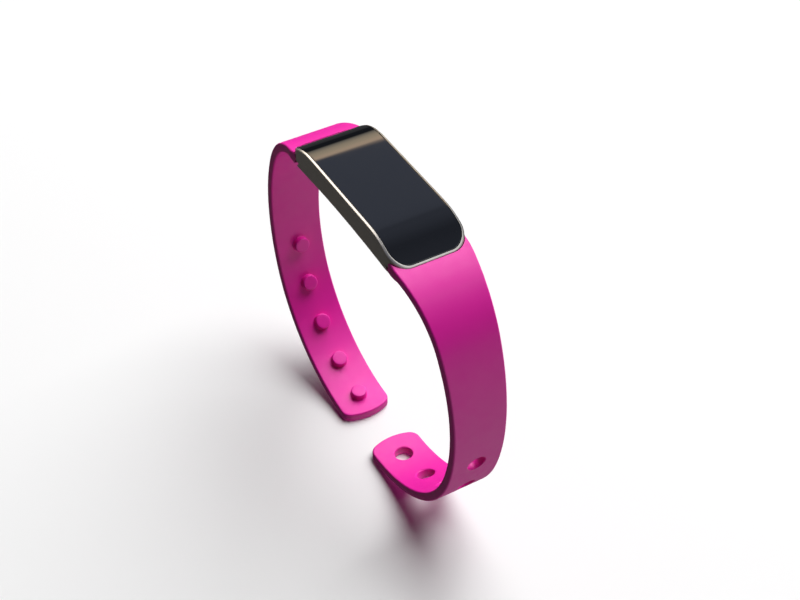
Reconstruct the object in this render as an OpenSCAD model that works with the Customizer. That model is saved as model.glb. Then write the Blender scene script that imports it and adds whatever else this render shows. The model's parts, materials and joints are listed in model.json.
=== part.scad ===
// Fitness tracker band: a curved metal module held by two silicone straps.
// X runs along the module, Y across the strap, Z up. The band stands on its straps,
// with the origin on the ground under the middle of the loop. Sizes are in millimetres.

/* [Module] */
// Length of the metal case along the wrist
case_len = 43.9; // [43.7:0.1:44.1]
// Width of the metal case
case_w = 16.8; // [16.7:0.1:17]
// Plan radius of the case corners
case_corner = 4; // [3.9:0.1:4.2]
// Height of the crown of the glass above the ground
crown_z = 72.9; // [72.8:0.1:73.2]
// Length of the flat part of the crown
crown_flat = 24; // [23.8:0.2:24.4]
// Radius of the crown where it turns down at each end
crown_r = 14; // [13.9:0.1:14.3]
// Height of the module's wrist side at its middle
wrist_z = 66.4; // [66.2:0.1:66.5]
// Radius of the hollow curve on the wrist side
wrist_r = 240; // [200:10:300]

/* [Glass] */
// Thickness of the cover glass
glass_t = 0.55; // [0.5:0.01:0.6]
// Width of the bare metal rim round the glass
rim_w = 0.55; // [0.5:0.05:0.6]

/* [Straps] */
// Strap thickness
strap_t = 2; // [1.9:0.1:2.1]
// Strap width at the free end
strap_w = 11.8; // [11.4:0.1:12.2]
// Extra width of the strap where it meets the case
strap_flare = 3.1; // [2.8:0.1:3.1]
// Distance from the middle of the loop to the line each strap stands on
foot_x = 6.4; // [6.2:0.1:6.6]
// Distance from the middle of the loop to each strap tip
tip_x = 4.5; // [4:0.1:5]
// Radius of the lower curve, along the middle of the strap
low_r = 32.6; // [32.4:0.1:32.8]
// Radius of the side curve, along the middle of the strap
side_r = 44.5; // [44.3:0.1:44.7]
// Radius of the shoulder curve, along the middle of the strap
shoulder_r = 21; // [20.9:0.1:21.1]

/* [Clasp] */
// Number of pegs, and of holes
clasp_count = 5; // [3:1:5]
// Spacing of the pegs and holes along the strap
clasp_pitch = 10.4; // [10:0.1:10.6]
// Peg diameter
peg_d = 3.6; // [3.4:0.1:3.7]
// Peg height above the strap
peg_h = 1.5; // [1.2:0.1:1.6]
// Hole diameter
hole_d = 4.1; // [4:0.05:4.2]
// Distance along the strap from its tip to the first peg
first_peg = 5.9; // [5.8:0.1:6]
// Distance along the strap from its tip to the first hole
first_hole = 6.35; // [6.25:0.05:6.4]

/* [Spring bars] */
// Distance from the middle of the loop to each spring bar
bar_x = 16; // [15.9:0.05:16.1]
// Height of the spring bars above the ground
bar_z = 67.2; // [67.15:0.05:67.3]
// Outer diameter of the spring bar tube
bar_d = 1.3; // [1.2:0.05:1.3]

/* [Vibration motor] */
// Outer diameter of the vibration motor
motor_d = 6; // [5.8:0.1:6.2]
// Distance from the middle of the loop to the motor shaft
motor_x = 9.6; // [9.4:0.1:9.7]

/* [Hidden] */
$fn = 96;
far = 60;               // reach of cutting tools, longer than anything they cut
gap = 0.05;             // assembly gap between neighbouring parts

// Case
end_x = case_len / 2;
crown_end_x = crown_flat / 2;
rim_end_w = 0.45;       // rim width at the two ends, along X
glass_x = end_x - rim_end_w;
glass_y = case_w / 2 - rim_w;
glass_corner = case_corner - 0.5;
room_x = 13.9;          // half length of the electronics room
room_y = 6.9;           // half width of the electronics room
room_corner = 1.5;
lip_z = 68.15;          // underside of the end lips that cover the strap ends
tongue_y = 6.6;         // half width of the strap end inside the case
tongue_x = 20.3;        // where the strap widens again outside the case, at its lower side
neck_low = 66.6;        // its inner edge then slopes up, clear of the side wall's end
neck_x = 18.75;
neck_top = 67.6;
tongue_gap = 0.15;
lip_bevel = [0.4, 0.35]; // cut off the lower outer edge of each lip, along X and Z
foot_rise = 1;          // the side walls stop this far above the wrist side
foot_y = 7.7;           // outside this half width
tail_top_x = 17.5;      // sloping end of each side wall, at the lip
tail_low_x = 19.9;      // and at the wrist side
strap_room_x = 14.55;   // inner end of the strap pocket
lug_r = 1.3;
lug_room_r = 1.45;
seal_x = 15.4;
seal_y = 7.4;
seal_t = 0.12;

// Spring bars
bar_tip_r = 0.38;
bar_crimp_r = 0.41;
bar_inner_r = 0.5;
bar_flange_r = 0.46;
bar_flange_t = 0.4;
bar_half = 6.2;         // half length of the tube
bar_crimp_t = 0.3;
bar_reach = 7.45;       // how far each tip reaches from the middle
bar_seat_r = 0.42;
bar_seat_y = 7.55;
bar_bore_r = bar_d / 2 + 0.05;
coil_r = 0.36;
coil_wire_r = 0.05;
coil_turns = 8;

// Strap chain: three tangent arcs from the foot line up to the case
low_a = 72.6;
side_a = 44;
shoulder_a = 45;
exit_a = low_a + side_a + shoulder_a;
low_c = [foot_x, low_r + strap_t / 2];
side_c = low_c + (low_r - side_r) * [sin(low_a), -cos(low_a)];
shoulder_c = side_c + (side_r - shoulder_r) * [sin(low_a + side_a), -cos(low_a + side_a)];
tip_a = asin((tip_x - foot_x) / low_r);
low_len = (low_a - tip_a) * PI * low_r / 180;
side_len = side_a * PI * side_r / 180;
shoulder_len = shoulder_a * PI * shoulder_r / 180;
chain_len = low_len + side_len + shoulder_len;
flare_len = 50;         // length over which the strap widens towards the case
root_flare = 1.4;       // extra width close to the case
root_len = 16;
root_z = 68.45;         // top of the strap's root, flush under the rim
root_gap = 0.12;        // between the root and the end of the case
root_lap = 0.2;         // how far the root is level outside that gap
tongue_top = 67.65;
tongue_low = 66.3;
joint_a = 4;            // overlap of neighbouring arcs before their ends are matched
tip_corner = 2.5;
tip_bulge_r = 12;

// Stack inside the module, from the wrist side up
cover_top = 67.4;
board_z = 70.35;
board_t = 0.6;
display_z = 71.15;
display_t = 1;
frame_z = 67.75;
frame_x = 13.7;
frame_y = 6.7;
frame_wall = 0.55;
boss_x = 12.4;
boss_y = 5.4;
boss_r = 1.1;
screw_r = 0.45;
screw_head_r = 0.9;
screw_z = 66.2;
rib_x = 2.9;
contact_x = 4.7;
contact_y = 2.6;
contact_r = 0.8;
battery_x0 = -11.1;
battery_x1 = 2.4;
battery_y = 5.6;
battery_z = 67.6;
battery_h = 2.6;
motor_z = 67.4;
motor_h = 2;
motor_skin = 0.15;
base_t = 0.2;
magnet_t = 0.35;
rotor_z = 0.8;
rotor_t = 0.75;
rotor_r = motor_d / 2 - 0.45;
shaft_r = 0.3;
radio_at = [7.9, 4.1];
radio_size = [4.2, 3.9, 0.7];

metal = [0.55, 0.53, 0.50];
silicone = [0.85, 0.12, 0.55];
steel = [0.75, 0.76, 0.78];
gold = [0.85, 0.68, 0.30];
black = [0.06, 0.06, 0.07];
board_green = [0.07, 0.30, 0.18];

// Helpers

module box(size, at) {
    translate(at) translate([-size[0] / 2, -size[1] / 2, 0]) cube(size);
}

module rounded_plan(x, y, r) {
    square([2 * (x - r), 2 * y], center = true);
    square([2 * x, 2 * (y - r)], center = true);
    for (sx = [-1, 1], sy = [-1, 1]) translate([sx * (x - r), sy * (y - r)]) circle(r);
}

// A straight upright prism with rounded corners
module slab(x, y, r, z, h) {
    translate([0, 0, z]) linear_extrude(h) rounded_plan(x, y, r);
}

// A shape drawn in X and Z, run across the whole width in Y
module across(width) {
    translate([0, width / 2, 0]) rotate([90, 0, 0]) linear_extrude(width) children();
}

// Everything under the crown, lowered by drop
module under_crown(drop) {
    across(far) {
        translate([-crown_end_x, 0]) square([crown_flat, crown_z - drop]);
        for (s = [-1, 1]) translate([s * crown_end_x, crown_z - crown_r])
            circle(crown_r - drop, $fn = 180);
    }
}

// The space on the wrist side of the hollow curve, in flats too small to see, raised by rise
module wrist_hollow(rise = 0) {
    steps = 24;
    reach = 24;
    curve = [for (i = [0:steps]) let (x = reach * (2 * i / steps - 1)) [x, wrist_z + rise - x * x / 2 / wrist_r]];
    across(far) polygon(concat([[-reach, 0]], curve, [[reach, 0]]));
}

module cylinder_y(r, from, to) {
    translate([0, to, 0]) rotate([90, 0, 0]) cylinder(r = r, h = to - from);
}

module at_bar(side) {
    translate([side * bar_x, 0, bar_z]) children();
}

module both_ends() {
    for (s = [0, 1]) mirror([s, 0, 0]) children();
}

// Case

module strap_pocket() {
    translate([strap_room_x, -tongue_y - tongue_gap, lip_z - far])
        cube([far, 2 * (tongue_y + tongue_gap), far]);
    translate([bar_x, 0, bar_z]) cylinder_y(lug_room_r, -tongue_y - tongue_gap, tongue_y + tongue_gap);
    across(far) polygon([[tail_top_x, lip_z], [far, lip_z], [far, lip_z - far],
                         [tail_low_x, lip_z - far], [tail_low_x, wrist_z - 0.8]]);
    translate([bar_x, 0, bar_z]) cylinder_y(bar_seat_r, -bar_seat_y, bar_seat_y);
    across(far) polygon([[end_x - lip_bevel[0], lip_z - 1], [far, lip_z - 1], [far, lip_z + lip_bevel[1]],
                         [end_x, lip_z + lip_bevel[1]], [end_x - lip_bevel[0], lip_z]]);
}

module case_frame() {
    color(metal) difference() {
        intersection() {
            slab(end_x, case_w / 2, case_corner, wrist_z - 2, far);
            under_crown(0);
        }
        wrist_hollow();
        for (s = [0, 1]) mirror([0, s, 0]) intersection() {
            wrist_hollow(foot_rise);
            translate([-far, foot_y, 0]) cube([2 * far, far, far * 2]);
        }
        difference() {
            slab(glass_x + gap, glass_y + gap, glass_corner, wrist_z, far);
            under_crown(glass_t);
        }
        difference() {
            slab(seal_x, seal_y, room_corner, wrist_z, far);
            under_crown(glass_t + seal_t);
        }
        slab(room_x, room_y, room_corner, wrist_z - 3, far);
        both_ends() strap_pocket();
    }
}

module glass_cover() {
    color(black) difference() {
        intersection() {
            slab(glass_x, glass_y, glass_corner, wrist_z, far);
            under_crown(0);
        }
        under_crown(glass_t);
    }
}

module glass_seal() {
    color("dimgray") difference() {
        intersection() {
            slab(seal_x - gap, seal_y - gap, room_corner, wrist_z, far);
            under_crown(glass_t);
        }
        under_crown(glass_t + seal_t);
        slab(room_x, room_y, room_corner, wrist_z, far);
    }
}

// Wrist side

module at_screws() {
    for (x = [-boss_x, boss_x], y = [-boss_y, boss_y]) translate([x, y, 0]) children();
}

module at_contacts() {
    for (s = [-1, 1]) translate([contact_x, s * contact_y, 0]) children();
}

module back_cover() {
    head_depth = 0.55;
    color([0.10, 0.10, 0.11]) difference() {
        slab(room_x - gap, room_y - gap, room_corner - gap, wrist_z - 2, cover_top - wrist_z + 2);
        wrist_hollow();
        at_screws() {
            translate([0, 0, wrist_z - 2]) cylinder(r = screw_r + gap, h = far);
            translate([0, 0, screw_z + head_depth - far]) cylinder(r = screw_head_r + gap, h = far);
        }
        at_contacts() translate([0, 0, wrist_z - 2]) cylinder(r = contact_r + 0.35, h = far);
    }
}

module back_seal() {
    seal_w = 0.5;
    color("darkorange") difference() {
        slab(frame_x, frame_y, room_corner, cover_top, frame_z - cover_top);
        slab(frame_x - seal_w, frame_y - seal_w, room_corner - seal_w, cover_top - 1, 3);
    }
}

module back_screws() {
    head_h = 0.5;
    shank_h = 3;
    slot_w = 0.25;
    color(steel) at_screws() translate([0, 0, screw_z]) difference() {
        union() {
            cylinder(r = screw_head_r, h = head_h);
            cylinder(r = screw_r, h = shank_h);
        }
        for (a = [0, 90]) rotate([0, 0, a])
            box([1.2 * screw_head_r, slot_w, head_h], [0, 0, -head_h / 2]);
    }
}

module charge_contacts() {
    rim_h = 0.35;
    color(gold) at_contacts() {
        translate([0, 0, wrist_z]) cylinder(r = contact_r, h = cover_top - wrist_z);
        translate([0, 0, cover_top - rim_h]) cylinder(r = contact_r + 0.1, h = rim_h);
    }
}

module contact_sleeves() {
    color("ivory") at_contacts() translate([0, 0, wrist_z + gap]) difference() {
        cylinder(r = contact_r + 0.3, h = cover_top - wrist_z - gap);
        translate([0, 0, -1]) cylinder(r = contact_r + 0.12, h = far);
    }
}

module contact_springs() {
    ring_h = (board_z - cover_top) / 7;
    color(gold) at_contacts() for (i = [0:2:6]) translate([0, 0, cover_top + i * ring_h]) {
        difference() {
            cylinder(r = 0.6, h = ring_h);
            translate([0, 0, -1]) cylinder(r = 0.35, h = 3);
        }
        if (i < 6) rotate([0, 0, 90 * i]) box([0.2, 0.2, ring_h + 0.2], [0.47, 0, ring_h - 0.1]);
    }
}

// Electronics

module inner_frame() {
    h = board_z - frame_z;
    cradle_r = motor_d / 2 + 0.6;
    color([0.20, 0.20, 0.22]) difference() {
        union() {
            difference() {
                slab(frame_x, frame_y, room_corner - 0.2, frame_z, h);
                slab(frame_x - frame_wall, frame_y - frame_wall, room_corner - frame_wall, frame_z - 1, far);
            }
            at_screws() translate([0, 0, frame_z]) cylinder(r = boss_r, h = h);
            box([0.4, 2 * frame_y - frame_wall, h], [rib_x, 0, frame_z]);
            translate([motor_x, 0, frame_z]) {
                cylinder(r = cradle_r, h = motor_h / 2);
                for (x = [-1.2, 1.2]) box([0.4, 2 * frame_y - frame_wall, motor_h / 2], [x, 0, 0]);
            }
        }
        translate([motor_x, 0, frame_z - 1]) cylinder(r = motor_d / 2 + gap, h = far);
        at_screws() translate([0, 0, frame_z - 1]) cylinder(r = screw_r + gap, h = 3);
    }
}

module touch_film() {
    film_t = 0.1;
    color([0.35, 0.30, 0.15]) slab(11.8, 6.2, 0.8, crown_z - glass_t - film_t, film_t);
}

module display_panel() {
    color([0.02, 0.02, 0.03]) {
        slab(11.9, 5.9, 0.3, display_z, display_t / 2);
        translate([-0.5, 0, 0]) slab(11.4, 5.9, 0.3, display_z + display_t / 2, display_t / 2);
    }
}

module display_tape() {
    color("lightgray") difference() {
        slab(11.6, 5.7, 0.3, board_z + board_t, display_z - board_z - board_t);
        slab(10.4, 4.5, 0.3, board_z, far);
    }
}

// Ribbon that leaves the display, turns round the board's edge and returns under it
module display_flex() {
    t = 0.1;
    ribbon_w = 7;
    top = display_z + 0.25;
    bottom = board_z - 0.35;
    bend_r = (top - bottom) / 2;
    bend_x = 11.9;
    color([0.75, 0.45, 0.12]) across(ribbon_w) {
        intersection() {
            translate([bend_x, (top + bottom) / 2]) difference() {
                circle(bend_r);
                circle(bend_r - t);
            }
            translate([bend_x, bottom - 1]) square([far, top - bottom + 2]);
        }
        translate([bend_x - 1.6, bottom]) square([1.6, t]);
    }
}

module display_connector() {
    color("ivory") box([1.1, 6, 0.25], [10.9, 0, board_z - 0.25]);
}

module main_board() {
    edge_x = 12.5;
    color(board_green) difference() {
        slab(edge_x, 6.3, 0.5, board_z, board_t);
        translate([edge_x, 0, 0]) box([1.6, 7.6, 3], [0, 0, board_z - 1]);
    }
}

module hanging_chip(size, at) {
    box(size, [at[0], at[1], board_z - size[2]]);
}

module processor_chip() {
    color(black) hanging_chip([3.2, 3, 0.45], radio_at);
}

module radio_shield() {
    skin = 0.1;
    color(steel) difference() {
        hanging_chip([radio_size[0], radio_size[1], radio_size[2]], radio_at);
        hanging_chip([radio_size[0] - 2 * skin, radio_size[1] - 2 * skin, radio_size[2] - skin], radio_at);
    }
}

module memory_chip() {
    color(black) hanging_chip([2.6, 2, 0.6], [5.2, -4.6]);
}

module motion_sensor() {
    color([0.25, 0.25, 0.27]) hanging_chip([2, 2, 0.7], [7.9, -4.9]);
}

module clock_crystal() {
    color("silver") hanging_chip([1.6, 1, 0.4], [4.4, 4.7]);
}

module chip_antenna() {
    color("white") hanging_chip([1.3, 1.6, 0.6], [10.4, -5.2]);
}

module small_parts() {
    color("tan") {
        for (i = [0:4], s = [-1, 1]) hanging_chip([0.5, 0.9, 0.3], [3.9 + 1.1 * i, 1.2 * s]);
    }
}

module battery_cell() {
    length = battery_x1 - battery_x0;
    fold = 0.5;
    color([0.72, 0.73, 0.75]) translate([(battery_x0 + battery_x1) / 2, 0, 0]) {
        slab(length / 2, battery_y, 0.7, battery_z + fold, battery_h - 2 * fold);
        for (z = [battery_z, battery_z + battery_h - fold])
            slab(length / 2 - 0.3, battery_y - 0.3, 0.6, z, fold);
    }
}

module battery_tabs() {
    tab_z = battery_z + battery_h / 2;
    color(steel) for (s = [-1, 1]) translate([battery_x0 - 0.55, s * 2.2, 0]) {
        box([1.1, 1.4, 0.12], [0, 0, tab_z]);
        box([0.12, 1.4, board_z - tab_z - 0.12], [-0.49, 0, tab_z + 0.12]);
    }
}

module battery_tape() {
    color("ivory") box([11, 9, battery_z - cover_top], [(battery_x0 + battery_x1) / 2, 0, cover_top]);
}

// Vibration motor

module at_motor(z) {
    translate([motor_x, 0, motor_z + z]) children();
}

module motor_can() {
    color(steel) at_motor(base_t) difference() {
        cylinder(r = motor_d / 2, h = motor_h - base_t);
        translate([0, 0, -1]) cylinder(r = motor_d / 2 - motor_skin, h = motor_h - base_t + 1 - motor_skin);
    }
}

module motor_base() {
    color("gray") at_motor(0) difference() {
        cylinder(r = motor_d / 2, h = base_t);
        translate([0, 0, -1]) cylinder(r = shaft_r, h = 3);
    }
}

module motor_magnet() {
    color([0.3, 0.3, 0.33]) at_motor(base_t) difference() {
        cylinder(r = 2.1, h = magnet_t);
        translate([0, 0, -1]) cylinder(r = 0.8, h = 3);
    }
}

module motor_shaft() {
    color(steel) at_motor(0) cylinder(r = shaft_r, h = motor_h - motor_skin);
}

module motor_rotor() {
    color([0.45, 0.44, 0.42]) at_motor(rotor_z) difference() {
        union() {
            cylinder(r = 0.8, h = rotor_t);
            difference() {
                cylinder(r = rotor_r, h = rotor_t);
                translate([-far, 0, -1]) cube([2 * far, far, 3]);
            }
        }
        translate([0, 0, -1]) cylinder(r = shaft_r + 0.04, h = 3);
    }
}

// Two leads from the motor's base, out under the cradle and up to the board
module motor_leads() {
    wire = 0.2;
    out_y = 3.8;
    color("firebrick") for (s = [-1, 1]) translate([motor_x + 0.4 * s, 0, 0]) {
        box([wire, 1, wire], [0, -out_y + 0.5 - wire / 2, motor_z + 0.02]);
        box([wire, wire, board_z - motor_z - 0.02], [0, -out_y, motor_z + 0.02]);
    }
}

// Straps, drawn for the +X side

function chain_centre(s) = s < low_len ? low_c : s < low_len + side_len ? side_c : shoulder_c;

function chain_radius(s) = s < low_len ? low_r : s < low_len + side_len ? side_r : shoulder_r;

// Heading of the strap at a distance s from its tip, in degrees
function chain_heading(s) =
    s < low_len ? tip_a + s / low_r * 180 / PI
    : s < low_len + side_len ? low_a + (s - low_len) / side_r * 180 / PI
    : low_a + side_a + (s - low_len - side_len) / shoulder_r * 180 / PI;

function chain_point(s) =
    chain_centre(s) + chain_radius(s) * [sin(chain_heading(s)), -cos(chain_heading(s))];

function half_width(s) =
    let (left = max(0, 1 - (chain_len - s) / flare_len), near = max(0, 1 - (chain_len - s) / root_len))
        (strap_w + strap_flare * left * left + root_flare * near * near) / 2;

// Puts children on the strap at a distance s from its tip, with +Z away from the wrist
module on_strap(s) {
    p = chain_point(s);
    translate([p[0], 0, p[1]]) rotate([0, 180 - chain_heading(s), 0]) children();
}

module arc_ring(centre, radius) {
    translate(centre) difference() {
        circle(radius + strap_t / 2, $fn = 250);
        circle(radius - strap_t / 2, $fn = 250);
    }
}

// Slice of the side view between two headings, seen from the middle of an arc
module arc_slice(centre, radius, from, to) {
    reach = 2 * radius;
    mid = (from + to) / 2;
    polygon([centre, centre + reach * [sin(from), -cos(from)], centre + reach * [sin(mid), -cos(mid)],
             centre + reach * [sin(to), -cos(to)]]);
}

module low_slice() arc_slice(low_c, low_r, tip_a - joint_a, low_a);
module side_slice() arc_slice(side_c, side_r, low_a - joint_a, low_a + side_a);
module shoulder_slice() arc_slice(shoulder_c, shoulder_r, low_a + side_a - joint_a, exit_a);

// Each piece is cut by the slice of the one before it, so that their ends match
module strap_side_view() {
    out = [sin(exit_a), -cos(exit_a)] * strap_t / 2;
    along = [cos(exit_a), sin(exit_a)];
    end = shoulder_c + 2 * shoulder_r / strap_t * out;
    bend = end + 0.3 * along;
    intersection() {
        arc_ring(low_c, low_r);
        low_slice();
    }
    difference() {
        intersection() {
            arc_ring(side_c, side_r);
            side_slice();
        }
        low_slice();
    }
    difference() {
        intersection() {
            arc_ring(shoulder_c, shoulder_r);
            shoulder_slice();
        }
        side_slice();
    }
    difference() {
        polygon([end - along + out, end - along - out, bend - out, [bar_x, tongue_low],
                 [bar_x, tongue_top], [tail_top_x + 1, tongue_top], [tail_top_x + 1, root_z],
                 [end_x + root_gap + root_lap, root_z], bend + out]);
        shoulder_slice();
    }
}

// Outline across the strap, seen along X: straight below, widening towards the case
module strap_front_view() {
    steps = 20;
    s0 = chain_len - flare_len;
    right = [for (i = [0:steps]) let (s = s0 + flare_len * i / steps) [half_width(s), chain_point(s)[1]]];
    low = [[half_width(s0), -far], [half_width(s0), chain_point(s0)[1] - 1]];
    high = [[half_width(chain_len), crown_z]];
    outline = concat(low, right, high);
    polygon(concat(outline, [for (i = [len(outline) - 1:-1:0]) [-outline[i][0], outline[i][1]]]));
}

// Rounded tip, seen from above
module strap_tip_plan() {
    corner_y = strap_w / 2 - tip_corner;
    bulge_x = tip_x + tip_bulge_r;
    corner_x = bulge_x - sqrt(pow(tip_bulge_r - tip_corner, 2) - corner_y * corner_y);
    bulge_a = 20;
    translate([corner_x, -far]) square([far, 2 * far]);
    for (s = [-1, 1]) translate([corner_x, s * corner_y]) circle(tip_corner);
    intersection() {
        translate([bulge_x, 0]) circle(tip_bulge_r, $fn = 180);
        polygon([[bulge_x, 0], [bulge_x - tip_bulge_r - 1, (tip_bulge_r + 1) * tan(bulge_a)],
                 [bulge_x - tip_bulge_r - 1, -(tip_bulge_r + 1) * tan(bulge_a)]]);
    }
}

module strap_body() {
    difference() {
        intersection() {
            across(2 * far) strap_side_view();
            translate([-far, 0, 0]) rotate([90, 0, 90]) linear_extrude(2 * far) strap_front_view();
            translate([0, 0, -1]) linear_extrude(2 * far) strap_tip_plan();
        }
        for (s = [0, 1]) mirror([0, s, 0]) translate([0, tongue_y + far, 0]) rotate([90, 0, 0])
            linear_extrude(far) polygon([[0, bar_z - 3], [tongue_x, bar_z - 3], [tongue_x, neck_low],
                                         [neck_x, neck_top], [neck_x, bar_z + far], [0, bar_z + far]]);
        slab(end_x + root_gap, case_w / 2 + root_gap, case_corner + root_gap, tongue_top, far);
        translate([bar_x, 0, bar_z]) cylinder_y(bar_bore_r, -far, far);
    }
    translate([bar_x, 0, bar_z]) difference() {
        cylinder_y(lug_r, -tongue_y, tongue_y);
        cylinder_y(bar_bore_r, -far, far);
    }
}

module peg_strap() {
    root = 0.5;
    color(silicone) mirror([1, 0, 0]) {
        strap_body();
        for (i = [0:clasp_count - 1]) on_strap(first_peg + clasp_pitch * i)
            translate([0, 0, -strap_t / 2 - peg_h]) cylinder(d = peg_d, h = peg_h + root);
    }
}

module hole_strap() {
    color(silicone) difference() {
        strap_body();
        for (i = [0:clasp_count - 1]) on_strap(first_hole + clasp_pitch * i)
            cylinder(d = hole_d, h = 2 * strap_t, center = true);
    }
}

// Spring bars

module bar_tube(side) {
    color(steel) at_bar(side) difference() {
        cylinder_y(bar_d / 2, -bar_half, bar_half);
        cylinder_y(bar_inner_r, -bar_half + bar_crimp_t, bar_half - bar_crimp_t);
        cylinder_y(bar_crimp_r, -far, far);
    }
}

module bar_tip(side, end) {
    flange_y = bar_half - bar_crimp_t;
    color(steel) at_bar(side) scale([1, end, 1]) union() {
        cylinder_y(bar_tip_r, flange_y - bar_flange_t, bar_reach);
        cylinder_y(bar_flange_r, flange_y - bar_flange_t, flange_y);
    }
}

// Wire coil between the two tips of a spring bar
module bar_spring(side) {
    span = 2 * (bar_half - bar_crimp_t - bar_flange_t) - 2 * coil_wire_r;
    per_turn = 8;
    sides = 4;
    rings = coil_turns * per_turn;
    pts = [for (i = [0:rings]) let (a = 360 * i / per_turn, y = span * (i / rings - 0.5))
           for (k = [0:sides - 1]) let (b = 360 * k / sides, r = coil_r + coil_wire_r * cos(b))
           [r * cos(a), y + coil_wire_r * sin(b), r * sin(a)]];
    walls = [for (i = [0:rings - 1], k = [0:sides - 1]) let (n = (k + 1) % sides)
             [i * sides + k, i * sides + n, (i + 1) * sides + n, (i + 1) * sides + k]];
    ends = [[for (k = [sides - 1:-1:0]) k], [for (k = [0:sides - 1]) rings * sides + k]];
    color(steel) at_bar(side) polyhedron(pts, concat(walls, ends));
}

module peg_bar_tube() bar_tube(-1);
module peg_bar_spring() bar_spring(-1);
module peg_bar_tip_near() bar_tip(-1, -1);
module peg_bar_tip_far() bar_tip(-1, 1);
module hole_bar_tube() bar_tube(1);
module hole_bar_spring() bar_spring(1);
module hole_bar_tip_near() bar_tip(1, -1);
module hole_bar_tip_far() bar_tip(1, 1);

case_frame();
glass_cover();
glass_seal();
back_cover();
back_seal();
back_screws();
charge_contacts();
contact_sleeves();
contact_springs();
inner_frame();
touch_film();
display_panel();
display_tape();
display_flex();
display_connector();
main_board();
processor_chip();
radio_shield();
memory_chip();
motion_sensor();
clock_crystal();
chip_antenna();
small_parts();
battery_cell();
battery_tabs();
battery_tape();
motor_can();
motor_base();
motor_magnet();
motor_shaft();
motor_rotor();
motor_leads();
peg_strap();
hole_strap();
peg_bar_tube();
peg_bar_spring();
peg_bar_tip_near();
peg_bar_tip_far();
hole_bar_tube();
hole_bar_spring();
hole_bar_tip_near();
hole_bar_tip_far();
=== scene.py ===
"""Looks of the fitness tracker band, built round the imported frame. Sizes in millimetres are
turned into metres by MM as each mesh is made; lights and camera are in metres."""

import json
import math

import bmesh
import bpy
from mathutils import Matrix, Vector

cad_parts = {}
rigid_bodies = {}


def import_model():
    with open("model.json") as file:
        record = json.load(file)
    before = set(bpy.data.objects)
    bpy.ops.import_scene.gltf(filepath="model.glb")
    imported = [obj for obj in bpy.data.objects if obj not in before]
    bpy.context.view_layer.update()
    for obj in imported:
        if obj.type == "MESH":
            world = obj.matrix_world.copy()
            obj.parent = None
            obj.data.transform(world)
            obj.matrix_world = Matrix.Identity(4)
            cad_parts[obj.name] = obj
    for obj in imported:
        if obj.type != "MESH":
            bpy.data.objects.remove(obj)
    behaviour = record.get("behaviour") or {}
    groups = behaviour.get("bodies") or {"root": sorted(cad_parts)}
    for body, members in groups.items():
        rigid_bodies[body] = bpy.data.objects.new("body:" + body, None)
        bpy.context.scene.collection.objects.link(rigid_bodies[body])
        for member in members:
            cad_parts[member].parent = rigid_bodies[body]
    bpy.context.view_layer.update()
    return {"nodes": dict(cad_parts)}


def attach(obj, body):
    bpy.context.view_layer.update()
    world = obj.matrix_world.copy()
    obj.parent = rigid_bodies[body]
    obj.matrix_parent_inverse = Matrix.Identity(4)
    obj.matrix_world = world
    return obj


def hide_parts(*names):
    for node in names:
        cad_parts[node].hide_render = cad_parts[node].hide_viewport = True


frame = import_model()
nodes = frame["nodes"]
MM = 0.001

# ---------------------------------------------------------------- sizes shared with the CAD
CASE_X, CASE_Y, CASE_R = 21.95, 8.4, 4.0         # half length, half width, corner radius
CROWN_Z, CROWN_X, CROWN_R = 72.9, 12.0, 14.0     # height, half length of the flat, radius of the round ends
BEND_X = (10.0, 12.45)                           # where a gentle bend joins the two
WRIST_Z, WRIST_R = 66.4, 240.0                   # wrist side, a hollow curve
GLASS_X, GLASS_Y, GLASS_R = 21.5, 7.85, 3.5
GLASS_T = 0.55
FIT_GAP = 0.05                                   # round the glass, in its groove
ROOM_X, ROOM_Y, ROOM_R = 13.9, 6.9, 1.5          # the electronics room
LIP_Z, LIP_BEVEL = 68.15, (0.4, 0.35)            # underside of the end lips, and their lower outer edge
POCKET_X = 14.55                                 # inner end of the room for each strap end
BAR_X, BAR_Z = 16.0, 67.2                        # spring bars
LUG_R, LUG_ROOM_R, BORE_R = 1.3, 1.45, 0.7
SEAT_R, SEAT_Y = 0.42, 7.55                      # blind holes for the pins
TAIL_TOP, TAIL_LOW = (17.5, 68.15), (19.9, 65.6)  # sloping end of each side wall, as (x, z)
FOOT_RISE, FOOT_Y = 1.15, 7.7                    # outside FOOT_Y the walls stop above the wrist side
STRAP_T = 2.0
TIP_X, FOOT_X = 4.5, 6.4                         # free end, and where each strap stands
LOW_R, SIDE_R, SHOULDER_R = 32.6, 44.5, 21.0     # the three arcs of the strap's middle line
LOW_A, SIDE_A, SHOULDER_A = 72.6, 44.0, 45.0
TONGUE_Y, TONGUE_TOP, TONGUE_LOW = 6.6, 67.65, 66.34  # the narrow end inside the case
TONGUE_RISE = 0.07                               # slope of its lower face
NECK = [(20.3, 60), (20.3, 66.6), (18.75, 67.6), (18.75, 70)]  # inner edge of the wide part, as (x, z)
ROOT_X, ROOT_Z, ROOT_RISE, ROOT_GAP = 22.3, 68.75, 0.30, 0.12  # last part outside the case
STRAP_W, FLARE, FLARE_LEN = 11.8, 3.1, 50.0
ROOT_FLARE, ROOT_LEN = 1.4, 16.0
TIP_CORNER, TIP_BULGE = 2.5, 12.0
PITCH, FIRST_PEG, FIRST_HOLE = 10.4, 5.9, 6.35
PEG_R, PEG_H, HOLE_R = 1.8, 1.5, 2.05
LOW, FAR, WIDE = 60, 30, 12                      # reach of cutting tools along Z, X and Y


def sind(a):
    return math.sin(math.radians(a))


def cosd(a):
    return math.cos(math.radians(a))


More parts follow.
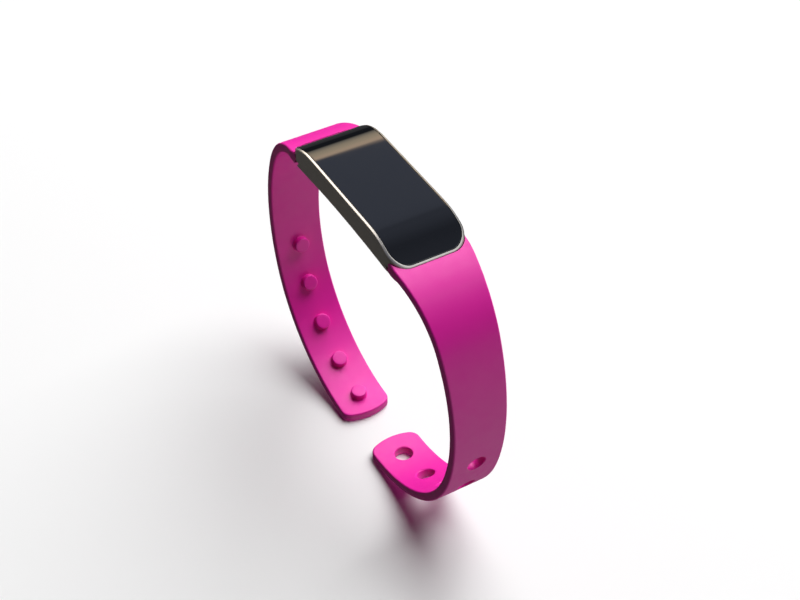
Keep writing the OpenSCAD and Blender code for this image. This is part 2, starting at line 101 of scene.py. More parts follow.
# ---------------------------------------------------------------- mesh helpers
def new_object(name, verts, faces, smooth_angle=38):
    """A mesh object from millimetre points, smooth except over edges sharper than smooth_angle."""
    mesh = bpy.data.meshes.new(name)
    mesh.from_pydata([Vector(v) * MM for v in verts], [], faces)
    obj = bpy.data.objects.new(name, mesh)
    bpy.context.scene.collection.objects.link(obj)
    clean(obj, smooth_angle)
    return obj


def clean(obj, smooth_angle=38, merge=1e-7):
    """Joins points closer than merge metres, turns the faces outward and marks the sharp edges."""
    bm = bmesh.new()
    bm.from_mesh(obj.data)
    bmesh.ops.remove_doubles(bm, verts=bm.verts, dist=merge)
    bmesh.ops.dissolve_degenerate(bm, edges=bm.edges, dist=merge)
    bmesh.ops.recalc_face_normals(bm, faces=bm.faces)
    for e in bm.edges:
        e.smooth = not (e.is_manifold and e.calc_face_angle(0) > math.radians(smooth_angle))
    for f in bm.faces:
        f.smooth = True
    bm.to_mesh(obj.data)
    bm.free()
    obj.data.update()


def cut(obj, tool, operation="DIFFERENCE", smooth_angle=38):
    """Applies a boolean with tool, then throws tool away."""
    mod = obj.modifiers.new("cut", "BOOLEAN")
    mod.object, mod.operation, mod.solver = tool, operation, "EXACT"
    deps = bpy.context.evaluated_depsgraph_get()
    mesh = bpy.data.meshes.new_from_object(obj.evaluated_get(deps))
    obj.modifiers.clear()
    obj.data = mesh
    bpy.data.objects.remove(tool)
    clean(obj, smooth_angle)
    return obj


def ring(half_x, half_y, radius, height, arc=12, run=30, end=3):
    """Loop of points round a rounded rectangle: the +Y half from +X to -X, then back on -Y.
    height(x) gives each point's Z."""
    cx, cy = half_x - radius, half_y - radius
    turn = [90 * i / arc for i in range(arc + 1)]
    half = [(half_x, cy * i / end) for i in range(end)]
    half += [(cx + radius * cosd(a), cy + radius * sind(a)) for a in turn]
    half += [(cx - 2 * cx * i / run, half_y) for i in range(1, run)]
    half += [(-cx + radius * cosd(90 + a), cy + radius * sind(90 + a)) for a in turn]
    half += [(-half_x, cy * i / end) for i in range(end - 1, -1, -1)]
    back = [(x, -y) for x, y in half[-2:0:-1]]
    return [(x, y, height(x)) for x, y in half + back]


def loft(name, rings, smooth_angle=38, caps=(True, True)):
    """Closed skin through loops of equal length. Each cap is a ladder of strips straight across Y."""
    n = len(rings[0])
    verts = [p for r in rings for p in r]
    faces = [(k * n + i, k * n + (i + 1) % n, (k + 1) * n + (i + 1) % n, (k + 1) * n + i)
             for k in range(len(rings) - 1) for i in range(n)]
    for used, base in zip(caps, (0, (len(rings) - 1) * n)):
        if used:
            half = n // 2
            for i in range(half):
                a, b, c, d = i, i + 1, (n - i - 1) % n, (n - i) % n
                loop = list(dict.fromkeys((base + a, base + b, base + c, base + d)))
                if len(loop) > 2:
                    faces.append(loop)
    return new_object(name, verts, faces, smooth_angle)


def lathe(name, profile, at, out, steps=48, smooth_angle=38):
    """Turns (radius, height) pairs round the line from at along out; both ends close on the line."""
    z = Vector(out).normalized()
    x = Vector((0, 1, 0)) if abs(z.y) < 0.9 else Vector((1, 0, 0))
    y = z.cross(x)
    at = Vector(at)
    verts, faces = [], []
    for r, h in profile:
        for i in range(steps):
            a = 360 * i / steps
            verts.append(at + z * h + (x * cosd(a) + y * sind(a)) * r)
    for k in range(len(profile) - 1):
        for i in range(steps):
            j = (i + 1) % steps
            faces.append((k * steps + i, k * steps + j, (k + 1) * steps + j, (k + 1) * steps + i))
    faces.append(tuple(range(steps)))
    faces.append(tuple(range((len(profile) - 1) * steps, len(profile) * steps)))
    return new_object(name, verts, faces, smooth_angle)


def between(name, first, last):
    """Solid between two flat loops with the same number of points."""
    n = len(first)
    faces = [(i, (i + 1) % n, n + (i + 1) % n, n + i) for i in range(n)]
    faces += [tuple(range(n)), tuple(range(n, 2 * n))]
    return new_object(name, first + last, faces)


def prism(name, outline, y0, y1):
    """Solid with an (x, z) outline, from y0 to y1."""
    return between(name, *([(x, y, z) for x, z in outline] for y in (y0, y1)))


def upright(name, outline, z0, z1):
    """Solid with an outline of (x, y, any z) points, from z0 to z1."""
    return between(name, *([(x, y, z) for x, y, _ in outline] for z in (z0, z1)))


# ---------------------------------------------------------------- module
def crown(x, drop=0.0):
    """Height of the glass crown at x, lowered square to itself by drop. Flat, a gentle bend, then the
    round end."""
    far = abs(x)
    if far < BEND_X[0]:
        return CROWN_Z - drop
    bend = (BEND_X[1] - BEND_X[0]) * CROWN_R / (BEND_X[1] - CROWN_X)
    if far < BEND_X[1]:
        return CROWN_Z - drop - (far - BEND_X[0]) ** 2 / 2 / bend
    r, over = CROWN_R - drop, BEND_X[1] - CROWN_X
    sunk = (BEND_X[1] - BEND_X[0]) ** 2 / 2 / bend - (CROWN_R - math.sqrt(CROWN_R ** 2 - over ** 2))
    return CROWN_Z - CROWN_R - sunk + math.sqrt(max(0.0, r * r - (far - CROWN_X) ** 2))


def wrist(x):
    """Height of the wrist side at x."""
    return WRIST_Z - x * x / 2 / WRIST_R


def case_ring(inset, height):
    """Loop round the case, set in by inset along its sides and a little less round its ends."""
    end, corner = 0.78, 0.9
    return ring(CASE_X - end * inset, CASE_Y - inset, CASE_R - corner * inset, height)


def make_case():
    """The frame as one skin from the groove, over the rim and down the walls to the wrist side, with
    the room, the strap pockets and the ends cut out of it."""
    rim, lead_in, foot, least_z = 0.48, 0.10, 0.3, LIP_Z + 0.06
    groove = (GLASS_X + FIT_GAP, GLASS_Y + FIT_GAP, GLASS_R + FIT_GAP)
    loops = [ring(*groove, lambda x: crown(x, GLASS_T)), ring(*groove, lambda x: crown(x) - lead_in)]
    turn = 7
    for i in range(turn + 1):
        a = 90 * i / turn
        loops.append(case_ring(rim * (1 - sind(a)),
                               lambda x, d=rim * (1 - cosd(a)): max(crown(x) - d, least_z)))
    for share in (0.25, 0.5, 0.75):
        loops.append(case_ring(0, lambda x, s=share: max(crown(x) - rim, least_z) * (1 - s)
                               + s * (wrist(x) + FOOT_RISE + foot)))
    for a in (0, 22.5, 45, 67.5, 90):
        loops.append(case_ring(foot * (1 - cosd(a)),
                               lambda x, r=foot * (1 - sind(a)): wrist(x) + FOOT_RISE + r))
    step_in, chamfer = CASE_Y - FOOT_Y, 0.15
    loops.append(case_ring(step_in, lambda x: wrist(x) + FOOT_RISE))
    loops.append(case_ring(step_in, lambda x: wrist(x) + chamfer))
    loops.append(case_ring(step_in + chamfer, wrist))
    case = loft("case_shell", loops)
    cut(case, loft("room", [ring(ROOM_X, ROOM_Y, ROOM_R, lambda x, z=z: z) for z in (LOW, LOW + 20)]))
    slot_y = TONGUE_Y + 0.15
    slot = [(POCKET_X, LOW), (FAR, LOW), (FAR, LIP_Z), (POCKET_X, LIP_Z)]
    lip_x, lip_z = CASE_X - LIP_BEVEL[0], LIP_Z + LIP_BEVEL[1]
    nose = [(lip_x, LOW), (FAR, LOW), (FAR, lip_z), (CASE_X, lip_z), (lip_x, LIP_Z)]
    for side in (-1, 1):
        at_bar = (side * BAR_X, 0, BAR_Z)
        cut(case, prism("slot", mirrored(slot, side), -slot_y, slot_y))
        cut(case, lathe("lug_room", [(LUG_ROOM_R, -slot_y), (LUG_ROOM_R, slot_y)], at_bar, (0, 1, 0)))
        cut(case, prism("tail", mirrored(tail_outline(), side), -WIDE, WIDE))
        cut(case, prism("nose", mirrored(nose, side), -WIDE, WIDE))
        cut(case, lathe("seat", [(SEAT_R, -SEAT_Y), (SEAT_R, SEAT_Y)], at_bar, (0, 1, 0), 24))
    soften(case, 0.10, lambda v: abs(v.x) > (ROOM_X + 0.05) * MM and v.z < (LIP_Z - 0.10) * MM)
    return case


def mirrored(outline, side):
    """An (x, z) outline for the right side, or its mirror image where side is -1."""
    return [(side * x, z) for x, z in outline]


def tail_outline():
    """What is cut off the end of each side wall: a slope, rounded where it meets the wrist side."""
    top, foot = Vector(TAIL_TOP), Vector(TAIL_LOW)
    steps, soft = 6, 0.6
    start = foot - (foot - top).normalized() * soft
    end = Vector((foot.x - soft, wrist(foot.x) - 0.03))
    corner = foot + Vector((-0.12, 0.13))
    curve = [start * (1 - t) ** 2 + corner * 2 * t * (1 - t) + end * t * t
             for t in (i / steps for i in range(steps + 1))]
    return [TAIL_TOP] + [tuple(p) for p in curve] + [(end.x, LOW), (FAR, LOW), (FAR, LIP_Z)]


def soften(obj, width, where, least=42):
    """Small bevel on the sharp edges whose two ends both pass where()."""
    bm = bmesh.new()
    bm.from_mesh(obj.data)
    edges = [e for e in bm.edges if e.is_manifold and e.calc_face_angle(0) > math.radians(least)
             and all(where(v.co) for v in e.verts)]
    bmesh.ops.bevel(bm, geom=edges, offset=width * MM, segments=2, profile=0.5, affect="EDGES",
                    clamp_overlap=True)
    bm.to_mesh(obj.data)
    bm.free()
    clean(obj, 38)


def make_glass():
    """The cover glass, with its top edge rounded."""
    edge, sunk = 0.16, 0.02
    shape = lambda inset: (GLASS_X - inset, GLASS_Y - inset, GLASS_R - inset)
    loops = []
    for i in range(6):
        a = 90 * i / 5
        loops.append(ring(*shape(edge * (1 - sind(a))),
                          lambda x, d=edge * (1 - cosd(a)): crown(x) - sunk - d))
    loops.append(ring(*shape(0), lambda x: crown(x, GLASS_T)))
    glass = loft("glass_shell", loops)
    # the wide cap is shaded apart from the rounding at its edge
    first = len(loops[0])
    for e in glass.data.edges:
        a, b = e.vertices
        if a < first and b < first and (abs(a - b) in (1, first - 1)):
            e.use_edge_sharp = True
    return glass


# ---------------------------------------------------------------- straps
TIP_A = math.degrees(math.asin((TIP_X - FOOT_X) / LOW_R))
LOW_LEN = math.radians(LOW_A - TIP_A) * LOW_R
SIDE_LEN = math.radians(SIDE_A) * SIDE_R
CHAIN_LEN = LOW_LEN + SIDE_LEN + math.radians(SHOULDER_A) * SHOULDER_R
EXIT_A = LOW_A + SIDE_A + SHOULDER_A
LOW_C = Vector((FOOT_X, LOW_R + STRAP_T / 2))
SIDE_C = LOW_C + (LOW_R - SIDE_R) * Vector((sind(LOW_A), -cosd(LOW_A)))
SHOULDER_C = SIDE_C + (SIDE_R - SHOULDER_R) * Vector((sind(LOW_A + SIDE_A), -cosd(LOW_A + SIDE_A)))


def chain(s):
    """Centreline point (x, z) of the right strap at a distance s from its tip, and its outward side.
    Past the last arc comes the root, where sections stand upright."""
    if s > CHAIN_LEN:
        end_x = SHOULDER_C.x + SHOULDER_R * sind(EXIT_A)
        x = min(ROOT_X, end_x - (s - CHAIN_LEN))
        low, high = TONGUE_LOW + TONGUE_RISE * (x - BAR_X), ROOT_Z + ROOT_RISE * (ROOT_X - x)
        return Vector((x, (high + low) / 2)), Vector((0, (high - low) / STRAP_T))
    if s < LOW_LEN:
        c, r, a = LOW_C, LOW_R, TIP_A + math.degrees(s / LOW_R)
    elif s < LOW_LEN + SIDE_LEN:
        c, r, a = SIDE_C, SIDE_R, LOW_A + math.degrees((s - LOW_LEN) / SIDE_R)
    else:
        c, r = SHOULDER_C, SHOULDER_R
        a = LOW_A + SIDE_A + math.degrees((s - LOW_LEN - SIDE_LEN) / SHOULDER_R)
    out = Vector((sind(a), -cosd(a)))
    return c + out * r, out


def half_width(s):
    """Half the strap's width: even, then widening slowly to the case, and faster close to it."""
    left, near = (max(0.0, 1 - (CHAIN_LEN - s) / reach) for reach in (FLARE_LEN, ROOT_LEN))
    return min(CASE_Y - 0.05, (STRAP_W + FLARE * left * left + ROOT_FLARE * near * near) / 2)


def on_strap(side, s, y=0.0, lift=0.0):
    """Point on the strap of that side, y across it and lift outward from its middle."""
    p, out = chain(s)
    p = p + out * lift
    return (side * p.x, y, p.y)


def tip_outline(inset):
    """(s, y, normal) round the strap's free end, from -Y to +Y, set in by inset."""
    cy = STRAP_W / 2 - TIP_CORNER
    lean = math.degrees(math.asin(cy / (TIP_BULGE - TIP_CORNER)))
    cs = TIP_BULGE - (TIP_BULGE - TIP_CORNER) * cosd(lean)
    points = []
    for i in range(9):
        a = 90 - (90 - lean) * i / 8
        r = TIP_CORNER - inset
        points.append((cs - r * cosd(a), cy + r * sind(a), (-cosd(a), sind(a))))
    for i in range(1, 8):
        a = lean - lean * i / 8
        r = TIP_BULGE - inset
        points.append((TIP_BULGE - r * cosd(a), r * sind(a), (-cosd(a), sind(a))))
    mid = [(inset, 0.0, (-1.0, 0.0))]
    return [(s, -y, (n[0], -n[1])) for s, y, n in points] + mid + points[::-1]


def make_strap(name, side):
    """A strap as one rounded plate bent along the chain: two skins of stations by columns, with a
    rolled edge between them."""
    roll, turn, step = 0.38, 5, 0.75
    tip = tip_outline(roll)
    cols = len(tip)
    first = 4.0
    rows = [[(s + (first - s) * t, y, n) for s, y, n in tip] for t in (0, 0.12, 0.3, 0.55, 0.8)]
    shares = [y / (STRAP_W / 2 - roll) for _, y, _ in tip]
    n_main = round((CHAIN_LEN - first) / step)
    stations = [first + (CHAIN_LEN - first) * i / n_main for i in range(n_main + 1)]
    # past the last arc: from just beyond it to just short of the bar
    root = CHAIN_LEN + 0.7
    end = CHAIN_LEN + chain(CHAIN_LEN)[0].x - BAR_X - 0.3
    stations += [root + (end - root) * i / 8 for i in range(9)]
    for s in stations:
        half = half_width(s) - roll
        rows.append([(s, half * k, (0.0, math.copysign(1.0, k) if k else 0.0)) for k in shares])
    n_rows = len(rows)
    h = STRAP_T / 2
    verts, index = [], {}

    def vert(key, s, y, lift):
        if key not in index:
            index[key] = len(verts)
            verts.append(on_strap(side, s, y, lift))
        return index[key]

    faces = []
    for skin in (1, -1):
        for i in range(n_rows - 1):
            for j in range(cols - 1):
                faces.append([vert((skin, a, b), rows[a][b][0], rows[a][b][1], skin * h)
                              for a, b in ((i, j), (i + 1, j), (i + 1, j + 1), (i, j + 1))])
    rim = [(i, 0) for i in range(n_rows - 1, 0, -1)] + [(0, j) for j in range(cols)]
    rim += [(i, cols - 1) for i in range(1, n_rows)]

    def rolled(k, m):
        """Vertex m of the rolled edge at rim place k; m runs from the outer skin to the inner."""
        i, j = rim[k]
        s, y, n = rows[i][j]
        if m in (0, 2 * turn + 3):
            return vert((1 if m == 0 else -1, i, j), s, y, h if m == 0 else -h)
        if m <= turn:
            a, skin = 90 * m / turn, 1
        elif m == turn + 1:
            return vert(("e", k, m), s + n[0] * roll, y + n[1] * roll, 0.0)
        else:
            a, skin = 90 * min(1, (2 * turn + 3 - m) / turn), -1
        out = roll * sind(a)
        lift = skin * (h - roll + roll * cosd(a))
        return vert(("e", k, m), s + n[0] * out, y + n[1] * out, lift)

    for k in range(len(rim) - 1):
        for m in range(2 * turn + 3):
            faces.append([rolled(k, m), rolled(k + 1, m), rolled(k + 1, m + 1), rolled(k, m + 1)])
    # the buried end, closed by one face round the section
    last = [rolled(0, m) for m in range(2 * turn + 4)]
    last += [vert((-1, n_rows - 1, j), *rows[-1][j][:2], -h) for j in range(1, cols - 1)]
    last += [rolled(len(rim) - 1, m) for m in range(2 * turn + 3, -1, -1)]
    last += [vert((1, n_rows - 1, j), *rows[-1][j][:2], h) for j in range(cols - 2, 0, -1)]
    faces.append(last)
    strap = new_object(name, verts, faces)
    neck = mirrored([(0, NECK[0][1])] + NECK + [(0, NECK[-1][1])], side)
    for y in (1, -1):
        cut(strap, prism("neck", neck, y * TONGUE_Y, y * WIDE))
    plan = (CASE_X + ROOT_GAP, CASE_Y + ROOT_GAP, CASE_R + ROOT_GAP)
    cut(strap, upright("case_room", ring(*plan, lambda x: 0, end=1), TONGUE_TOP, LOW + 20))
    at_bar = (side * BAR_X, 0, BAR_Z)
    cut(strap, lathe("lug", [(LUG_R, -TONGUE_Y), (LUG_R, TONGUE_Y)], at_bar, (0, 1, 0), 50), "UNION")
    cut(strap, lathe("bore", [(BORE_R, -WIDE), (BORE_R, WIDE)], at_bar, (0, 1, 0), 40))
    return strap


def make_peg_strap():
    """The left strap, with rounded pegs that grow out of its inner face."""
    strap = make_strap("peg_strap_skin", -1)
    h = STRAP_T / 2
    edge, root = 0.28, 0.16
    profile = [(PEG_R + root, -0.4), (PEG_R + root, 0.02), (PEG_R + 0.06, 0.10), (PEG_R, 0.24),
               (PEG_R, PEG_H - edge)]
    profile += [(PEG_R - edge + edge * cosd(a), PEG_H - edge + edge * sind(a)) for a in (18, 36, 54, 72, 90)]
    profile += [(PEG_R * 0.45, PEG_H), (0.02, PEG_H)]
    for i in range(5):
        s = FIRST_PEG + PITCH * i
        out = chain(s)[1]
        cut(strap, lathe("peg", profile, on_strap(-1, s, 0, -h), (out.x, 0, -out.y)), "UNION")
    return strap


def make_hole_strap():
    """The right strap, with holes rounded at both faces."""
    strap = make_strap("hole_strap_skin", 1)
    h = STRAP_T / 2
    edge = 0.22
    top = h + 0.01
    half = [(HOLE_R + edge * (1 - cosd(a)), top - edge * (1 - sind(a))) for a in (0, 30, 60, 90)]
    half += [(HOLE_R + edge, h + 1)]
    profile = [(r, -z) for r, z in half[::-1]] + half
    for i in range(5):
        s = FIRST_HOLE + PITCH * i
        out = chain(s)[1]
        cut(strap, lathe("hole", profile, on_strap(1, s), (out.x, 0, out.y)))
    return strap


# ---------------------------------------------------------------- materials
def material(name, base, rough, metal=0.0):
    """Principled material. Returns it, its node tree and its shader."""
    mat = bpy.data.materials.new(name)
    mat.use_nodes = True
    tree = mat.node_tree
    bsdf = tree.nodes["Principled BSDF"]
    bsdf.inputs["Base Color"].default_value = (*base, 1)
    bsdf.inputs["Roughness"].default_value = rough
    bsdf.inputs["Metallic"].default_value = metal
    return mat, tree, bsdf


def noise(tree, vector, scale, detail=2.0, rough=0.5):
    """Noise from 0 to 1 at vector."""
    n = tree.nodes.new("ShaderNodeTexNoise")
    n.inputs["Scale"].default_value = scale
    n.inputs["Detail"].default_value = detail
    n.inputs["Roughness"].default_value = rough
    tree.links.new(vector, n.inputs["Vector"])
    return n.outputs["Fac"]


def spread(tree, value, low, high, from_low=0.3, from_high=0.7):
    """Remaps a 0-1 value to low-high."""
    m = tree.nodes.new("ShaderNodeMapRange")
    for key, v in (("From Min", from_low), ("From Max", from_high), ("To Min", low), ("To Max", high)):
        m.inputs[key].default_value = v
    tree.links.new(value, m.inputs["Value"])
    return m.outputs["Result"]


def tint(tree, value, dark, light):
    """Colour between dark and light, by value."""
    mix = tree.nodes.new("ShaderNodeMix")
    mix.data_type = "RGBA"
    mix.inputs["A"].default_value = (*dark, 1)
    mix.inputs["B"].default_value = (*light, 1)
    tree.links.new(value, mix.inputs["Factor"])
    return mix.outputs["Result"]


def bump(tree, bsdf, value, strength, distance):
    """Bumps the surface by value, distance metres high at full strength."""
    b = tree.nodes.new("ShaderNodeBump")
    b.inputs["Strength"].default_value = strength
    b.inputs["Distance"].default_value = distance
    tree.links.new(value, b.inputs["Height"])
    tree.links.new(b.outputs["Normal"], bsdf.inputs["Normal"])


def plain(name, dark, light, rough, metal=0.0, scale=900.0, grain=0.05, size=0.00004):
    """A moulded, drawn or coated finish: slow colour drift, uneven roughness and a fine grain. scale is
    per metre of object coordinates, and size is the grain's height in metres."""
    mat, tree, bsdf = material(name, light, rough[0], metal)
    vec = tree.nodes.new("ShaderNodeTexCoord").outputs["Object"]
    slow = noise(tree, vec, scale / 6, 3)
    fine = noise(tree, vec, scale * 3, 4, 0.6)
    tree.links.new(tint(tree, slow, dark, light), bsdf.inputs["Base Color"])
    tree.links.new(spread(tree, noise(tree, vec, scale, 3), *rough), bsdf.inputs["Roughness"])
    bump(tree, bsdf, fine, grain, size)
    return mat


def paint(obj, mat):
    obj.data.materials.clear()
    obj.data.materials.append(mat)


SILICONE = plain("silicone", (0.74, 0.008, 0.33), (0.82, 0.010, 0.375), (0.40, 0.50), scale=500, grain=0.12,
                 size=0.00003)
CASE_METAL = plain("case_metal", (0.33, 0.300, 0.262), (0.38, 0.348, 0.306), (0.30, 0.40), 1.0, scale=1500,
                   grain=0.10, size=0.00001)
GLASS = plain("cover_glass", (0.0035, 0.0042, 0.0062), (0.0045, 0.0053, 0.0078), (0.03, 0.05), scale=200,
              grain=0.0, size=0.000001)


# ---------------------------------------------------------------- build
def place(obj, body, mat, slot, *replaced):
    """Gives a piece its material and its body, and hides the nodes that it replaces. slot is not used."""
    paint(obj, mat)
    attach(obj, body)
    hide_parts(*replaced)
    return obj


place(make_case(), "module", CASE_METAL, "case_metal", "case_frame")
place(make_glass(), "module", GLASS, "cover_glass", "glass_cover")
place(make_peg_strap(), "peg_strap", SILICONE, "silicone", "peg_strap")
place(make_hole_strap(), "hole_strap", SILICONE, "silicone", "hole_strap")

# material: the nodes that wear it, the two ends of its colour, the range of its roughness, metallic
NODE_LOOKS = {
    "black_plastic": (["back_cover"], (0.020, 0.020, 0.022), (0.030, 0.030, 0.032), (0.38, 0.50), 0.0),
    "seal_rubber": (["back_seal"], (0.42, 0.13, 0.02), (0.50, 0.16, 0.03), (0.55, 0.65), 0.0),
    "black_adhesive": (["glass_seal"], (0.010, 0.010, 0.010), (0.015, 0.015, 0.015), (0.5, 0.6), 0.0),
    "screw_steel": (["back_screws", "motor_shaft"], (0.42, 0.42, 0.43), (0.50, 0.50, 0.51), (0.22, 0.34),
                    1.0),
    "contact_gold": (["charge_contacts", "contact_springs"], (0.72, 0.46, 0.14), (0.83, 0.56, 0.20),
                     (0.16, 0.28), 1.0),
    "natural_plastic": (["contact_sleeves", "display_connector"], (0.56, 0.52, 0.42), (0.64, 0.60, 0.50),
                        (0.4, 0.5), 0.0),
    "frame_plastic": (["inner_frame"], (0.030, 0.030, 0.034), (0.045, 0.045, 0.050), (0.45, 0.6), 0.0),
    "film": (["touch_film"], (0.16, 0.11, 0.03), (0.20, 0.14, 0.04), (0.10, 0.2), 0.0),
    "display_black": (["display_panel"], (0.006, 0.006, 0.008), (0.010, 0.010, 0.013), (0.06, 0.12), 0.0),
    "foam": (["display_tape", "battery_tape"], (0.05, 0.05, 0.052), (0.09, 0.09, 0.094), (0.8, 0.95), 0.0),
    "flex_amber": (["display_flex"], (0.40, 0.14, 0.02), (0.50, 0.19, 0.03), (0.2, 0.3), 0.0),
    "board": (["main_board"], (0.006, 0.055, 0.028), (0.010, 0.080, 0.042), (0.30, 0.45), 0.0),
    "chip_black": (["processor_chip", "memory_chip", "motion_sensor"], (0.012, 0.012, 0.013),
                   (0.020, 0.020, 0.021), (0.45, 0.6), 0.0),
    "tinned_steel": (["radio_shield", "clock_crystal", "battery_tabs", "motor_can", "motor_base"],
                     (0.50, 0.50, 0.49), (0.60, 0.60, 0.59), (0.25, 0.4), 1.0),
    "ceramic": (["chip_antenna"], (0.66, 0.65, 0.60), (0.74, 0.73, 0.68), (0.25, 0.35), 0.0),
    "ceramic_tan": (["small_parts"], (0.26, 0.18, 0.09), (0.34, 0.25, 0.13), (0.4, 0.5), 0.0),
    "battery_foil": (["battery_cell"], (0.56, 0.57, 0.58), (0.66, 0.67, 0.68), (0.28, 0.42), 0.9),
    "magnet": (["motor_magnet"], (0.10, 0.10, 0.105), (0.14, 0.14, 0.145), (0.35, 0.5), 1.0),
    "rotor_weight": (["motor_rotor"], (0.22, 0.21, 0.20), (0.28, 0.27, 0.25), (0.35, 0.5), 1.0),
    "lead_red": (["motor_leads"], (0.36, 0.02, 0.012), (0.44, 0.03, 0.018), (0.3, 0.4), 0.0),
    "bar_steel": (["peg_bar_tube", "hole_bar_tube", "peg_bar_tip_near", "peg_bar_tip_far",
                   "hole_bar_tip_near", "hole_bar_tip_far"], (0.50, 0.50, 0.50), (0.60, 0.60, 0.60),
                  (0.2, 0.32), 1.0),
    "spring_steel": (["peg_bar_spring", "hole_bar_spring"], (0.32, 0.32, 0.33), (0.40, 0.40, 0.41),
                     (0.25, 0.38), 1.0),
}
for slot, (names, dark, light, rough, metal) in NODE_LOOKS.items():
    mat = plain(slot, dark, light, rough, metal)
    for n in names:
        paint(nodes[n], mat)


# ---------------------------------------------------------------- floor, light, camera
def heading(azimuth, elevation):
    """Unit vector towards an azimuth and elevation, in degrees."""
    return Vector((cosd(elevation) * cosd(azimuth), cosd(elevation) * sind(azimuth), sind(elevation)))


def card(name, azimuth, elevation, width, height, radiance, color=(1, 1, 1), seen="both", only=None, far=2.5):
    """A soft light of width x height degrees at an azimuth and elevation, aimed at the object.
    seen is "diffuse" or "glossy" where it shows in one of the two only; only names the objects it
    falls on."""
    data = bpy.data.lights.new(name, "AREA")
    data.shape = "RECTANGLE"
    data.size, data.size_y = (2 * far * math.tan(math.radians(v / 2)) for v in (width, height))
    data.energy, data.color = radiance * math.pi * data.size * data.size_y, color
    obj = bpy.data.objects.new(name, data)
    towards = heading(azimuth, elevation)
    obj.location = towards * far + Vector((0, 0, 0.04))
    obj.rotation_euler = towards.to_track_quat("Z", "Y").to_euler()
    obj.visible_glossy, obj.visible_diffuse = seen != "diffuse", seen != "glossy"
    bpy.context.scene.collection.objects.link(obj)
    if only:
        group = bpy.data.collections.new(name + "_on")
        for o in only:
            group.objects.link(o)
        obj.light_linking.receiver_collection = group
    return obj


FLOOR = 6                                        # half its side
floor_mesh = bpy.data.meshes.new("floor")
floor_mesh.from_pydata([(-FLOOR, -FLOOR, 0), (FLOOR, -FLOOR, 0), (FLOOR, FLOOR, 0), (-FLOOR, FLOOR, 0)],
                       [], [(0, 1, 2, 3)])
floor = bpy.data.objects.new("floor", floor_mesh)
bpy.context.scene.collection.objects.link(floor)
floor_mat, _, floor_bsdf = material("floor_white", (0.88, 0.88, 0.88), 0.6)
floor_bsdf.inputs["Specular IOR Level"].default_value = 0.0
paint(floor, floor_mat)
floor.visible_diffuse = floor.visible_glossy = False


ROOM = (0.46, 0.51, 0.66)                        # colour of the surroundings over the ground
# their level along X, from -1 to 1
ROOM_LEVELS = [(-0.62, 1.0), (-0.5, 0.74), (-0.36, 0.80), (-0.2, 0.72), (0.05, 0.44), (0.2, 0.46),
               (0.5, 0.62)]
# the low warm band seen in the glass at -X, by elevation in degrees, dark under it
BAND = [(14.5, (0.02, 0.02, 0.018)), (19.5, (1.15, 1.02, 0.80)), (31, (3.5, 2.8, 1.95)),
        (34.8, (4.6, 3.4, 2.4)), (36.4, ROOM)]
# the ground, from the dim side to the lit side
GROUND = [(0.09, 0.09, 0.09), (0.32, 0.32, 0.32), (1.1, 1.1, 1.1)]


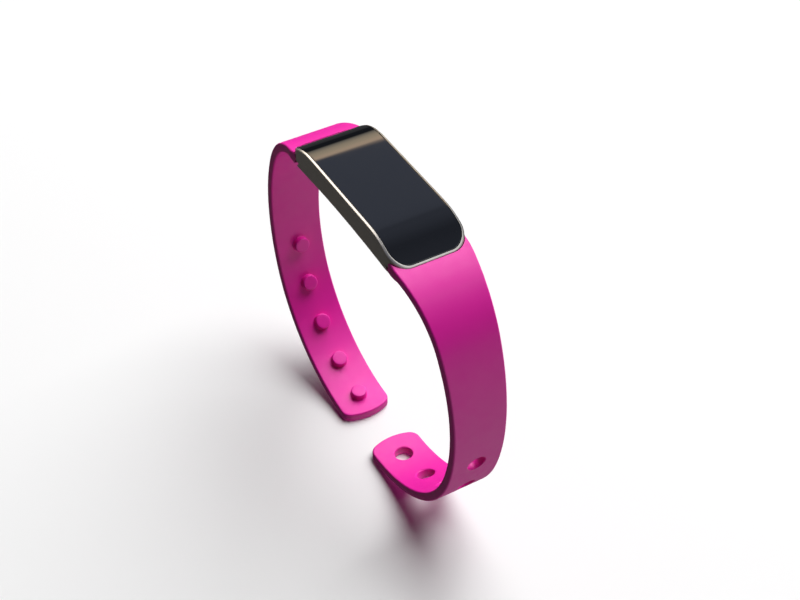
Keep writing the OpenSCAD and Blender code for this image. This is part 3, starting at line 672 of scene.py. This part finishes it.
def sky():
    """Studio surroundings. The camera sees them pale; the object is lit and mirrored by a dim ground,
    brighter towards the lit side, and by a grey-blue room over it."""
    world = bpy.data.worlds.new("studio")
    world.use_nodes = True
    tree = world.node_tree
    back = tree.nodes["Background"]

    def node(kind, **props):
        n = tree.nodes.new(kind)
        for key, value in props.items():
            setattr(n, key, value)
        return n

    def link(source, target):
        tree.links.new(source, target)

    def dot(direction):
        n = node("ShaderNodeVectorMath", operation="DOT_PRODUCT")
        link(out, n.inputs[0])
        n.inputs[1].default_value = direction
        return n.outputs["Value"]

    def ramp(value, stops):
        n = node("ShaderNodeValToRGB")
        link(value, n.inputs["Fac"])
        e = n.color_ramp.elements
        while len(e) < len(stops):
            e.new(0.5)
        for stop, (at, color) in zip(e, stops):
            stop.position = at
            stop.color = (*color, 1)
        return n.outputs["Color"]

    def mix(factor, a, b):
        n = node("ShaderNodeMix", data_type="RGBA")
        link(factor, n.inputs["Factor"])
        for key, v in (("A", a), ("B", b)):
            if isinstance(v, tuple):
                n.inputs[key].default_value = (*v, 1)
            else:
                link(v, n.inputs[key])
        return n.outputs["Result"]

    def step(value, low, high):
        n = node("ShaderNodeMapRange", interpolation_type="SMOOTHSTEP")
        link(value, n.inputs["Value"])
        n.inputs["From Min"].default_value, n.inputs["From Max"].default_value = low, high
        return n.outputs["Result"]

    def half(value):
        """-1..1 to 0..1, for a ramp"""
        n = node("ShaderNodeMapRange")
        link(value, n.inputs["Value"])
        n.inputs["From Min"].default_value = -1
        return n.outputs["Result"]

    out = node("ShaderNodeTexCoord").outputs["Generated"]
    up = dot((0, 0, 1))
    ground = ramp(half(dot((0.8, 0.6, 0))), [(0.30, GROUND[0]), (0.60, GROUND[1]), (0.95, GROUND[2])])
    room = ramp(half(dot((1, 0, 0))),
                [((at + 1) / 2, tuple(level * c for c in ROOM)) for at, level in ROOM_LEVELS])
    band = ramp(up, [(sind(a), color) for a, color in BAND])
    west = step(dot((-1, 0, 0)), 0.45, 0.60)
    above = mix(west, room, band)
    horizon = (-0.02, 0.03)
    reflected = mix(step(up, *horizon), ground, above)
    lit = mix(step(up, *horizon), ground, (0.0, 0.0, 0.0))
    rays = node("ShaderNodeLightPath")
    seen = mix(rays.outputs["Is Glossy Ray"], lit, reflected)
    link(mix(rays.outputs["Is Camera Ray"], seen, (0.92, 0.92, 0.92)), back.inputs["Color"])
    bpy.context.scene.world = world


sky()
straps = [bpy.data.objects[n] for n in ("peg_strap_skin", "hole_strap_skin")]
module = [bpy.data.objects[n] for n in ("case_shell", "glass_shell")]
card("key_light", 113, 56, 56, 46, 5.6, seen="diffuse")
card("low_light", 120, 18, 52, 30, 2.6, seen="diffuse")
card("strap_gloss", 118, 56, 62, 46, 3.0, seen="glossy", only=straps)
card("rim_gloss", 190, 40, 76, 44, 3.5, (0.94, 0.97, 1), "glossy", only=module[:1])
card("end_gloss", 30, 32, 60, 44, 1.7, (0.90, 0.95, 1), "glossy", module[:1])
card("top_gloss", 75, 66, 70, 36, 1.9, (0.90, 0.95, 1), "glossy", module[:1])
card("glass_gloss", 30, 20, 50, 26, 1.0, seen="glossy", only=module[1:])

bpy.context.scene.view_settings.view_transform = "Standard"

camera = bpy.data.cameras.new("camera")
camera.lens, camera.sensor_width = 64.8, 36
camera.shift_x, camera.shift_y = -0.0006, 0.0
cam = bpy.data.objects.new("camera", camera)
bpy.context.scene.collection.objects.link(cam)
cam.location = (0.1939, -0.1062, 0.24756)
cam.rotation_euler = Vector((-0.6329, 0.3641, -0.6836)).to_track_quat("-Z", "Y").to_euler()
camera.clip_start, camera.clip_end = 0.005, 20
bpy.context.scene.camera = cam
